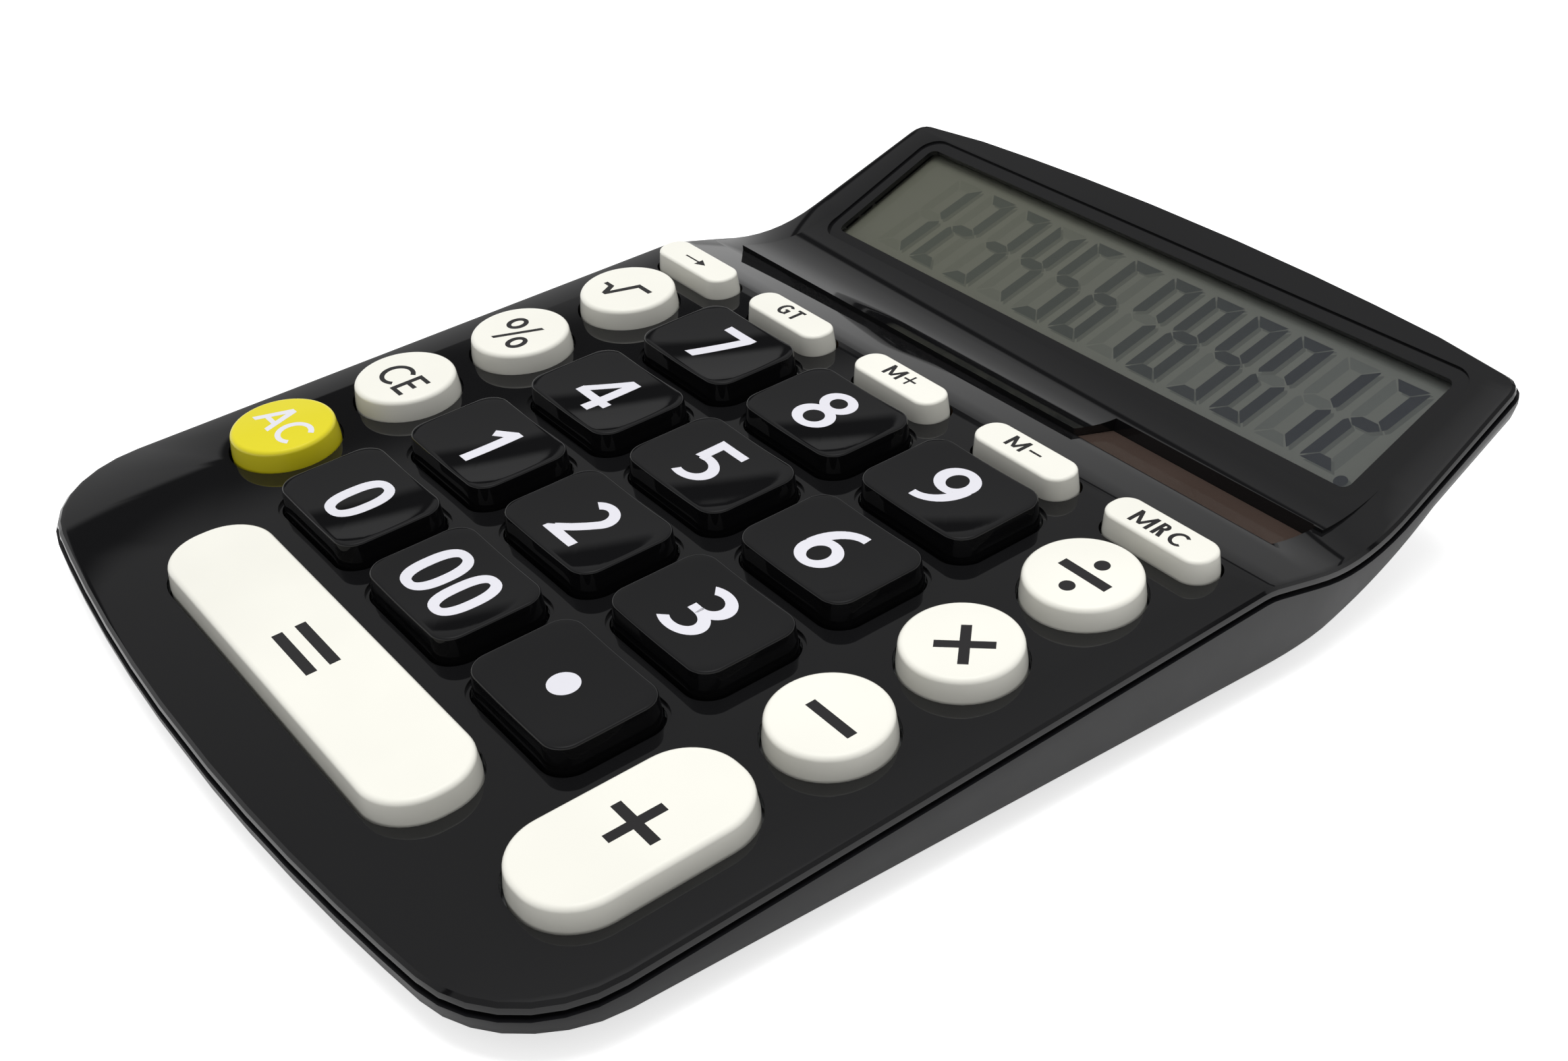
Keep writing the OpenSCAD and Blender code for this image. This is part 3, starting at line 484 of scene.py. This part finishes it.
def digit(name):
    """Strokes of a number, about 11 high, around its own middle."""
    if name == "0":
        return [stroke(arc(0, 0, 2.65, 4.7, 0, 360, 0.8), BOLD, True)]
    if name == "1":
        return [outline([(-2.35, 2.95), (-1.45, 1.65), (0.25, 2.85), (0.25, -5.25), (2.35, -5.25),
                         (2.35, 5.25), (0.85, 5.25)])]
    if name == "2":
        sweep = [(1.2, -0.55), (-0.1, -2.2), (-1.9, -4.1)]
        return [stroke(arc(0, 2.15, 2.6, 2.35, 145, -30) + sweep, BOLD),
                outline([(-3.4, -5.45), (3.85, -5.45), (3.85, -3.85), (-1.0, -3.75), (-2.5, -3.75),
                         (-3.4, -4.6)])]
    if name == "3":
        return [stroke(arc(-0.55, 2.27, 2.9, 2.33, 128, -90), BOLD),
                stroke(arc(-0.75, -2.4, 3.3, 2.34, 90, -128), BOLD), bar(-2.0, -0.8, -0.2, 0.68)]
    if name == "4":
        return [bar(0.75, -5.3, 2.75, 5.3), bar(-4.15, -3.1, 4.15, -1.5),
                outline([(-4.15, -1.6), (-2.35, -1.6), (2.4, 5.3), (0.55, 5.3)])]
    if name == "5":
        return [outline([(-3.55, 5.3), (2.85, 5.3), (2.85, 3.8), (-1.65, 3.8), (-1.65, 0.2), (-3.55, -0.2)]),
                stroke([(-2.7, 0.4), (-1.4, 0.6)] + arc(-1.3, -2.1, 3.5, 2.7, 90, -110), BOLD)]
    if name in "69":
        turn = 1 if name == "6" else -1
        bowl = [(x * turn, y * turn) for x, y in arc(0.15, -2.1, 2.75, 2.65, 0, 360)]
        stem = [(x * turn, y * turn) for x, y in arc(2.6, -1.4, 5.25, 6.0, 180, 88)]
        return [stroke(bowl, BOLD, True), stroke(stem, BOLD)]
    if name == "7":
        return [outline([(-3.4, 5.35), (3.75, 5.35), (3.75, 4.1), (0, -5.4), (-2.3, -5.4), (1.4, 3.7),
                         (-3.4, 3.7)])]
    return [stroke(arc(0, 2.7, 2.6, 2.1, 0, 360), BOLD_TOP, True),
            stroke(arc(0, -2.35, 2.95, 2.45, 0, 360), BOLD, True)]


def letter(name, x, h, pen):
    """Strokes of a capital of height h that starts at x, for a pen of half width a and half height b."""
    a, b = pen
    if name == "A":
        wide, foot = 0.94 * h, 2.1 * a
        peak = [(x + wide / 2 + 1.1 * a, h / 2), (x + wide / 2 - 1.1 * a, h / 2)]
        legs = [outline([(x + start, -h / 2), (x + start + foot, -h / 2), *peak])
                for start in (0, wide - foot)]
        return legs + [bar(x + 0.2 * h, -0.26 * h, x + wide - 0.2 * h, -0.26 * h + 1.9 * b)]
    if name == "C":
        return [stroke(arc(x + 0.52 * h, 0, 0.52 * h - a, h / 2 - b, 48, 312), pen)]
    if name == "E":
        arms = ((h / 2 - b, 0.54 * h), (0.02 * h, 0.5 * h), (b - h / 2, 0.56 * h))
        return [bar(x, -h / 2, x + 2 * a, h / 2)] + [bar(x, y - b, x + long, y + b) for y, long in arms]
    if name == "G":
        return [stroke(arc(x + 0.44 * h, 0, 0.44 * h - a, h / 2 - b, 45, 300), pen),
                bar(x + 0.8 * h - 2 * a, -0.42 * h, x + 0.8 * h, 0.04 * h),
                bar(x + 0.45 * h, -0.02 * h - b, x + 0.8 * h, -0.02 * h + b)]
    if name == "M":
        wide, middle = 1.2 * h, x + 0.6 * h
        slopes = [outline([(x + start, h / 2), (x + start + 2 * a, h / 2), (middle + a, -h / 2 + b),
                           (middle - a, -h / 2 + b)]) for start in (0, wide - 2 * a)]
        return [bar(x, -h / 2, x + 2 * a, h / 2), bar(x + wide - 2 * a, -h / 2, x + wide, h / 2)] + slopes
    if name == "R":
        bowl = arc(x + 0.3 * h, 0.25 * h, 0.25 * h - a, 0.25 * h - b, 90, -90)
        return [bar(x, -h / 2, x + 2 * a, h / 2), stroke([(x + a, h / 2 - b)] + bowl + [(x + a, 0)], pen),
                outline([(x + 0.2 * h, 0), (x + 0.2 * h + 2.2 * a, 0.02), (x + 0.6 * h, -h / 2),
                         (x + 0.6 * h - 2.3 * a, -h / 2)])]
    return [bar(x + 0.3 * h - a, -h / 2, x + 0.3 * h + a, h / 2), bar(x, h / 2 - 2 * b, x + 0.6 * h, h / 2)]


def legend(key, parts, limits, material):
    """Prints groups of strokes on a key, filling limits: left, right, front and back from its middle."""
    (key_x, key_y), _, _, height = keys[key]
    on_bowl = height == NUMBER_TOP
    bm = bmesh.new()
    for strokes in parts:
        bm.from_mesh(joined(strokes))
    for axis in (0, 1):
        low, high = min(v.co[axis] for v in bm.verts), max(v.co[axis] for v in bm.verts)
        start, end = limits[2 * axis:2 * axis + 2]
        for v in bm.verts:
            v.co[axis] = start + (v.co[axis] - low) * (end - start) / (high - low)
    if on_bowl:
        for cut in range(-CUTS, CUTS + 1):
            for normal in ((1, 0, 0), (0, 1, 0)):
                bmesh.ops.bisect_plane(bm, geom=bm.verts[:] + bm.edges[:] + bm.faces[:],
                                       plane_co=[CUT_STEP * cut * n for n in normal], plane_no=normal)
    bmesh.ops.triangulate(bm, faces=bm.faces)
    for v in bm.verts:
        top = hollow_z(v.co.x, v.co.y) if on_bowl else height
        v.co = Vector((v.co.x + key_x, v.co.y + key_y, top + PRINT * (v.co.z - PRINT_SUNK)))
    smoothed(bm, PRINT_CREASE)
    bmesh.ops.transform(bm, matrix=on_deck, verts=bm.verts)
    print_piece = finished_mesh(key + "_legend", bm, material)
    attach(print_piece, key)


for name, limits in {
        "7": (-3.3, 3.9, -5.4, 5.3), "8": (-4.35, 3.55, -5.35, 5.8), "9": (-4.3, 3.45, -5.35, 5.5),
        "4": (-4.25, 4.1, -5.6, 5.0), "5": (-3.95, 3.15, -5.45, 5.3), "6": (-4.1, 3.65, -5.4, 5.6),
        "1": (-2.1, 2.6, -5.45, 5.05), "2": (-3.5, 3.75, -5.65, 5.15), "3": (-3.9, 3.75, -5.65, 5.45),
        "0": (-3.1, 4.45, -5.85, 5.1)}.items():
    legend("key_" + name, [digit(name)], limits, white_print_painted_shade)
legend("key_00", [[stroke(arc(-4.1, 0, 2.65, 4.7, 0, 360, 0.8), BOLD, True)],
                  [stroke(arc(4.1, 0, 2.45, 4.7, 0, 360, 0.8), BOLD, True)]],
       (-7.95, 7.35, -5.9, 5.1), white_print_painted_shade)
legend("key_point", [[dot(0, 0, 2.35)]], (-2.15, 2.6, -2.45, 2.25), white_print_painted_shade)
legend("key_equals", [[bar(0, 3.52, 11.2, 5.2)], [bar(0, 0, 11.2, 1.66)]],
       (-5.95, 5.2, -3.05, 2.15), legend_grey)
legend("key_plus", [[bar(-4.35, -0.78, 4.35, 0.78), bar(-0.78, -4.3, 0.78, 4.3)]],
       (-4.0, 4.75, -3.9, 4.75), legend_grey)
legend("key_divide", [[bar(0, 3.86, 8.95, 5.54)], [dot(4.55, 8.0, 1.17)], [dot(4.6, 1.17, 1.17)]],
       (-3.8, 5.15, -5.05, 4.1), legend_grey)
legend("key_times", [[outline([(2.4, -3.45), (3.45, -2.4), (-2.4, 3.45), (-3.45, 2.4)]),
                      outline([(-3.45, -2.4), (-2.4, -3.45), (3.45, 2.4), (2.4, 3.45)])]],
       (-2.35, 4.55, -3.9, 3.1), legend_grey)
legend("key_minus", [[bar(0, 0, 8, 1)]], (-3.25, 5.4, -1.33, 0.28), legend_grey)
legend("key_root", [[outline([(-5.1, -1.7), (-3.6, -1.7), (-2.4, -4.1), (-1.4, -4.1), (0.75, 2.2), (3.8, 2.2),
                              (3.8, 3.2), (-0.1, 3.2), (-1.9, -2.6), (-2.9, -0.8), (-5.1, -0.8)])]],
       (-4.5, 4.55, -4.35, 2.35), legend_grey)
legend("key_percent", [[stroke(arc(-2.9, 1.9, 1.35, 1.6, 0, 360), MEDIUM, True)],
                       [stroke(arc(2.9, -1.75, 1.3, 1.6, 0, 360), MEDIUM, True)],
                       [outline([(-2.2, -3.9), (-1.3, -3.9), (2.4, 4.2), (1.5, 4.2)])]],
       (-4.2, 5.15, -4.8, 3.3), legend_grey)
legend("key_clear_entry", [letter("C", 0, 6.1, MEDIUM), letter("E", 6.05, 6.1, MEDIUM)],
       (-4.2, 5.3, -3.85, 2.2), legend_grey)
legend("key_all_clear", [letter("A", 0, 6.3, WHITE_PEN), letter("C", 6.1, 6.3, WHITE_PEN)],
       (-5.45, 6.15, -2.8, 3.5), white_print_painted_shade)
legend("key_memory_recall",
       [letter("M", 0, 3.2, FINE), letter("R", 4.5, 3.2, FINE), letter("C", 7.2, 3.2, FINE)],
       (-5.0, 4.75, -1.9, 1.35), legend_grey)
legend("key_grand_total", [letter("G", 0, 3.1, FINE), letter("T", 3.3, 3.1, FINE)],
       (-3.15, 2.25, -1.2, 1.9), legend_grey)
legend("key_memory_plus", [letter("M", 0, 3.05, FINE),
                           [bar(4.15, -0.2, 6.85, 0.2), bar(5.3, -1.4, 5.7, 1.4)]],
       (-3.6, 3.25, -1.1, 1.95), legend_grey)
legend("key_memory_minus", [letter("M", 0, 3.0, FINE), [bar(4.35, -0.2, 6.85, 0.2)]],
       (-3.8, 3.05, -1.2, 1.8), legend_grey)
legend("key_backspace", [[bar(-3.0, -0.17, 1.8, 0.17), outline([(0.8, -1.0), (2.9, 0), (0.8, 1.0)])]],
       (-3.15, 2.85, -1.35, 0.65), legend_grey)
bpy.data.objects.remove(pen_tip)


# ---------------------------------------------------------------------------
# Display. A grey liquid crystal panel of glass sits in a white bracket under a
# clear plastic cover in the head. Its twelve slanted numbers are lit segments;
# their shadow on the reflector behind them is painted, as a shifted paler copy.
# ---------------------------------------------------------------------------
HEAD_TILT, HEAD_PLACE = math.radians(19.8), (0, 65.7, -6.3904)
PANEL_TOP, PANEL_REACH = -2.4, 55 * MM
DIGIT_PITCH, LAST_DIGIT, DIGIT_MIDDLE, SLANT = 9.45, 54.4, 21.7, 0.115
SEGMENT_WIDE, SEGMENT_HIGH, SEGMENT_THICK = 0.97, 0.985, 0.02
POINT_PLACE, POINT_RADIUS = (58.7, 10.5), 1.15
# Tops of the lit segments, of their painted shadow and of the unlit ones over the panel, and the painted
# shadow's shift.
LIT_HIGH, PAINTED_SHADOW_HIGH, UNLIT_HIGH, PAINTED_SHADOW_SHIFT = 0.012, 0.008, 0.004, (0.9, -0.35)
WINDOW_SHINE = 0.035
on_face = on_deck @ Matrix.Translation(HEAD_PLACE) @ Matrix.Rotation(HEAD_TILT, 4, "X")


def crystal(name, left, right):
    """Finish of the panel or its segments: one colour runs into another from left to right."""
    wiring = Wiring(bpy.data.materials.new(name))
    place = wiring.node("ShaderNodeTexCoord", out="Object")
    across = wiring.node("ShaderNodeSeparateXYZ", sockets=[place], out="X")
    share = wiring.node("ShaderNodeMapRange", {"interpolation_type": "SMOOTHSTEP"},
                        {"Value": across, "From Min": -PANEL_REACH, "From Max": PANEL_REACH})
    even = wiring.mix(share, paint(left), paint(right))
    clouded = wiring.mix(0.12 * wiring.noise(90, 2), even, (0.5, 0.5, 0.5, 1), "MULTIPLY")
    return wiring.finish("ShaderNodeOutputMaterial", wiring.node("ShaderNodeBsdfPrincipled", sockets={
        "Base Color": clouded, "Roughness": 0.45, "Specular IOR Level": 0.2}))


def see_through(wiring, tint, share, skin):
    """Clear plastic: a share of the light meets its skin, and the rest goes through and takes the tint."""
    through = wiring.node("ShaderNodeBsdfTransparent", sockets={"Color": paint(tint)})
    return wiring.finish("ShaderNodeOutputMaterial",
                         wiring.node("ShaderNodeMixShader", sockets=[share, through, skin]))


def dressed(node, material):
    """Gives a CAD piece its finish."""
    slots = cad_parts[node].data.materials
    slots.clear()
    slots.append(material)


dressed("lcd_panel", crystal("panel_grey", (0.12, 0.124, 0.1), (0.11, 0.117, 0.112)))
wiring = Wiring(bpy.data.materials.new("window_clear"))
marks = wiring.noise(45, 5)
gloss = wiring.node("ShaderNodeBsdfGlossy", sockets={"Roughness": 0.03 + 0.1 * marks})
shine = WINDOW_SHINE * 0.7 + WINDOW_SHINE * 0.6 * marks
dressed("display_window", see_through(wiring, (0.97, 0.97, 0.96), shine, gloss))

# Right and upper segments of a number around its middle; the others are these, mirrored.
LEVEL_SEGMENT = [(-3.2, 10.6), (-1.15, 8.45), (1.15, 8.45), (3.2, 10.6)]
SIDE_SEGMENT = [(3.45, 10.3), (3.6, 9.9), (3.6, 0.9), (3.1, 0.25), (1.25, 1.5), (1.25, 8.3)]
MIDDLE_SEGMENT = [(-2.9, 0), (-1.6, 1.1), (1.6, 1.1), (2.9, 0), (1.6, -1.1), (-1.6, -1.1)]
SEGMENTS = {name: [(x * across, y * along) for x, y in shape] for name, shape, across, along in (
    ("a", LEVEL_SEGMENT, 1, 1), ("b", SIDE_SEGMENT, 1, 1), ("c", SIDE_SEGMENT, 1, -1),
    ("d", LEVEL_SEGMENT, 1, -1), ("e", SIDE_SEGMENT, -1, -1), ("f", SIDE_SEGMENT, -1, 1),
    ("g", MIDDLE_SEGMENT, 1, 1))}
LIT = {"0": "abcdef", "1": "bc", "2": "abged", "3": "abgcd", "4": "fgbc", "5": "afgcd", "6": "afgedc",
       "7": "abcf", "8": "abcdefg", "9": "abcdfg"}


def display_segments(name, chosen, high, shift, material):
    """Prints the chosen segments of every number and the point on the panel, with their tops that high."""
    bm = bmesh.new()
    for place, number in enumerate(reversed("123456789012")):
        middle_x = LAST_DIGIT - DIGIT_PITCH * place + shift[0]
        middle_y = DIGIT_MIDDLE + shift[1]
        for segment in chosen(LIT[number]):
            corners = [(x * SEGMENT_WIDE + SLANT * y, y * SEGMENT_HIGH) for x, y in SEGMENTS[segment]]
            bm.faces.new([bm.verts.new((middle_x + x, middle_y + y, 0)) for x, y in corners])
    point = bmesh.ops.create_circle(bm, cap_ends=True, segments=32, radius=POINT_RADIUS)["verts"]
    bmesh.ops.translate(bm, verts=point, vec=(POINT_PLACE[0] + shift[0], POINT_PLACE[1] + shift[1], 0))
    thickened(bm, SEGMENT_THICK)
    bottom = PANEL_TOP + high - SEGMENT_THICK
    bmesh.ops.transform(bm, matrix=on_face @ Matrix.Translation((0, 0, bottom)), verts=bm.verts)
    piece = finished_mesh(name, bm, material)
    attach(piece, "casing")


display_segments("display_numbers", lambda lit: lit, LIT_HIGH, (0, 0),
                 crystal("segment_dark", (0.062, 0.07, 0.058), (0.02, 0.024, 0.032)))
# Painted shadow: a shifted, paler copy of the lit segments that stands for their shadow on the reflector
# behind.
display_segments("display_painted_shadow", lambda lit: lit, PAINTED_SHADOW_HIGH, PAINTED_SHADOW_SHIFT,
                 crystal("segment_painted_shadow", (0.085, 0.091, 0.073), (0.07, 0.077, 0.076)))
display_segments("display_unlit", lambda lit: [s for s in SEGMENTS if s not in lit], UNLIT_HIGH, (0, 0),
                 crystal("segment_unlit", (0.108, 0.113, 0.09), (0.084, 0.092, 0.091)))


def small_part(name, colour, roughness, metallic=0.0, grain=0.01, scale=900):
    """Finish of a fitting: colour and gloss vary in patches, over a fine grain whose depth is in mm."""
    wiring = Wiring(bpy.data.materials.new(name))
    patches = wiring.noise(220, 4)
    shade = wiring.mix(patches, paint(colour, 0.8), paint(colour, 1.15))
    bump = wiring.node("ShaderNodeBump", sockets={
        "Strength": 0.3, "Distance": grain * MM, "Height": wiring.noise(scale, 2)}, out="Normal")
    return wiring.finish("ShaderNodeOutputMaterial", wiring.node("ShaderNodeBsdfPrincipled", sockets={
        "Base Color": shade, "Metallic": metallic, "Normal": bump,
        "Roughness": roughness * 0.75 + roughness * 0.5 * patches}))


dressed("lcd_bracket", small_part("bracket_white", (0.62, 0.62, 0.58), 0.45))
dressed("lcd_ribbon", small_part("ribbon_amber", (0.42, 0.17, 0.04), 0.35))


# ---------------------------------------------------------------------------
# Solar cell. A dark brown strip cell on a ledge, under a smoky cover that is
# let into the recess of the casing; two thin leads run down from it.
# ---------------------------------------------------------------------------
CELL_LINES, LINE_THIN = 38.0, 0.996
wiring = Wiring(bpy.data.materials.new("solar_brown"))
place = wiring.node("ShaderNodeTexCoord", out="Object")
bands = wiring.node("ShaderNodeTexWave", {"wave_type": "BANDS", "bands_direction": "X"},
                    {"Vector": place, "Scale": CELL_LINES}, out="Fac")
mottle = wiring.noise(350, 3)
film = wiring.mix(mottle, (0.05, 0.03, 0.022, 1), (0.075, 0.047, 0.036, 1))
lined = wiring.mix(0.35 * bands.math("GREATER_THAN", LINE_THIN), film, (0.02, 0.014, 0.012, 1))
skin = wiring.node("ShaderNodeBsdfPrincipled", sockets={
    "Base Color": lined, "Roughness": 0.3 + 0.1 * mottle, "Coat Weight": 0.3})
dressed("solar_cell", wiring.finish("ShaderNodeOutputMaterial", skin))
wiring = Wiring(bpy.data.materials.new("smoky_cover"))
smoke = wiring.noise(60, 3)
brown = wiring.mix(smoke, (0.06, 0.041, 0.033, 1), (0.078, 0.055, 0.046, 1))
skin = wiring.node("ShaderNodeBsdfPrincipled", sockets={"Base Color": brown, "Roughness": 0.06 + 0.1 * smoke})
dressed("solar_window", see_through(wiring, (0.8, 0.7, 0.65), 0.7 + 0.1 * smoke, skin))
lead_red = small_part("lead_red", (0.5, 0.03, 0.025), 0.4)
dressed("solar_leads", lead_red)


# ---------------------------------------------------------------------------
# Circuit board and its parts. A brown laminate board is screwed to posts of
# the upper cover, as the display's bracket is; it carries the controller
# under its drop of resin and one capacitor.
# ---------------------------------------------------------------------------
dressed("main_board", small_part("board_laminate", (0.2, 0.13, 0.05), 0.5, scale=2200))
dressed("controller_chip", small_part("resin_black", (0.014, 0.014, 0.015), 0.25))
dressed("capacitor", small_part("capacitor_sleeve", (0.03, 0.04, 0.12), 0.3))
steel = small_part("screw_steel", (0.55, 0.55, 0.54), 0.28, metallic=1.0)
for node in ("board_screws", "bracket_screws"):
    dressed(node, steel)


# ---------------------------------------------------------------------------
# Keypad mat. One sheet of grey silicone rubber under the keys, with a hollow
# dome below each key post that folds flat when the key is pressed.
# ---------------------------------------------------------------------------
MAT_TOP, MAT_CUT, DOME_FOOT = -4.2, 0.02, 0.03
DOME_RADIUS, DOME_MARGIN, DOME_HEIGHT, DOME_WALL = 3.6, 0.2, 1.39, 0.4
DOME_SLOPE, DOME_CHAMFER, CHAMFER_DROP = 1.1, 0.25, 0.15
KEPT_SHARE, DOME_CREASE = 0.1, 35
# Shares of a long key's size at which its domes stand; every other key has one in the middle.
DOME_PLACES = {"key_equals": ((-0.36, 0), (0, 0), (0.36, 0)), "key_plus": ((0, -0.28), (0, 0.28))}
mat_rubber = small_part("mat_rubber", (0.3, 0.31, 0.31), 0.6, grain=0.02)
deck_up = (on_deck.to_3x3() @ Vector((0, 0, 1))).normalized()
bm = welded("keypad_mat")
cut_place = on_deck @ Vector((0, 0, MAT_TOP + MAT_CUT))
cut = bmesh.ops.bisect_plane(bm, geom=bm.verts[:] + bm.edges[:] + bm.faces[:], plane_co=cut_place,
                             plane_no=deck_up, clear_outer=True)["geom_cut"]
bmesh.ops.triangle_fill(bm, edges=[g for g in cut if isinstance(g, bmesh.types.BMEdge)], use_beauty=True)
bmesh.ops.recalc_face_normals(bm, faces=bm.faces)
mat_sheet = finished_mesh("mat_sheet", bm, mat_rubber)
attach(mat_sheet, "casing")
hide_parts("keypad_mat")
for name, (place, size, _, _) in keys.items():
    radius = min(DOME_RADIUS, size[1] / 2 - DOME_MARGIN)
    for count, (across, along) in enumerate(DOME_PLACES.get(name, ((0, 0),))):
        bm = bmesh.new()
        bmesh.ops.create_circle(bm, cap_ends=True, segments=40, radius=radius)
        top = bm.faces[:][0]
        for inward, high in ((DOME_SLOPE, DOME_HEIGHT - CHAMFER_DROP), (DOME_CHAMFER, DOME_HEIGHT)):
            top = inset(bm, top, inward, high)
        under = bmesh.ops.contextual_create(bm, geom=[e for e in bm.edges if e.is_boundary])["faces"][0]
        for inward, high in ((DOME_WALL, 0), (DOME_SLOPE, DOME_HEIGHT - DOME_WALL)):
            under = inset(bm, under, inward, high)
        bmesh.ops.recalc_face_normals(bm, faces=bm.faces)
        smoothed(bm, DOME_CREASE)
        spot = (place[0] + across * size[0], place[1] + along * size[1], MAT_TOP + DOME_FOOT)
        foot = on_deck @ Matrix.Translation(spot)
        bmesh.ops.transform(bm, matrix=foot, verts=bm.verts)
        dome = finished_mesh(f"{name}_dome_{count + 1}", bm, mat_rubber)
        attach(dome, "casing")
        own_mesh(dome)


# ---------------------------------------------------------------------------
# Back-up battery. A button cell in a small box of the lower cover, between
# two spring contacts, closed by a screwed door; thin leads go to the board.
# ---------------------------------------------------------------------------
SMALL_CREASE = 30
dressed("button_cell", small_part("cell_steel", (0.62, 0.61, 0.58), 0.22, metallic=1.0))
contact_nickel = small_part("contact_nickel", (0.66, 0.6, 0.46), 0.3, metallic=1.0)
for node in ("upper_contact", "lower_contact"):
    dressed(node, contact_nickel)
dressed("battery_leads", lead_red)
door = merged_copy("battery_cover", "battery_door", tray_grey, SMALL_CREASE)


# ---------------------------------------------------------------------------
# Screws and feet. Small steel cross-head screws hold the covers and the door
# together, and four black rubber feet are glued under the lower cover.
# ---------------------------------------------------------------------------
for node in ("case_screws", "battery_cover_screw"):
    screws = merged_copy(node, node.replace("screw", "steel_screw"), steel, SMALL_CREASE)
foot_rubber = small_part("foot_rubber", (0.02, 0.02, 0.021), 0.7, grain=0.03)
feet = merged_copy("rubber_feet", "foot_pads", foot_rubber, SMALL_CREASE)


bpy.context.view_layer.update()
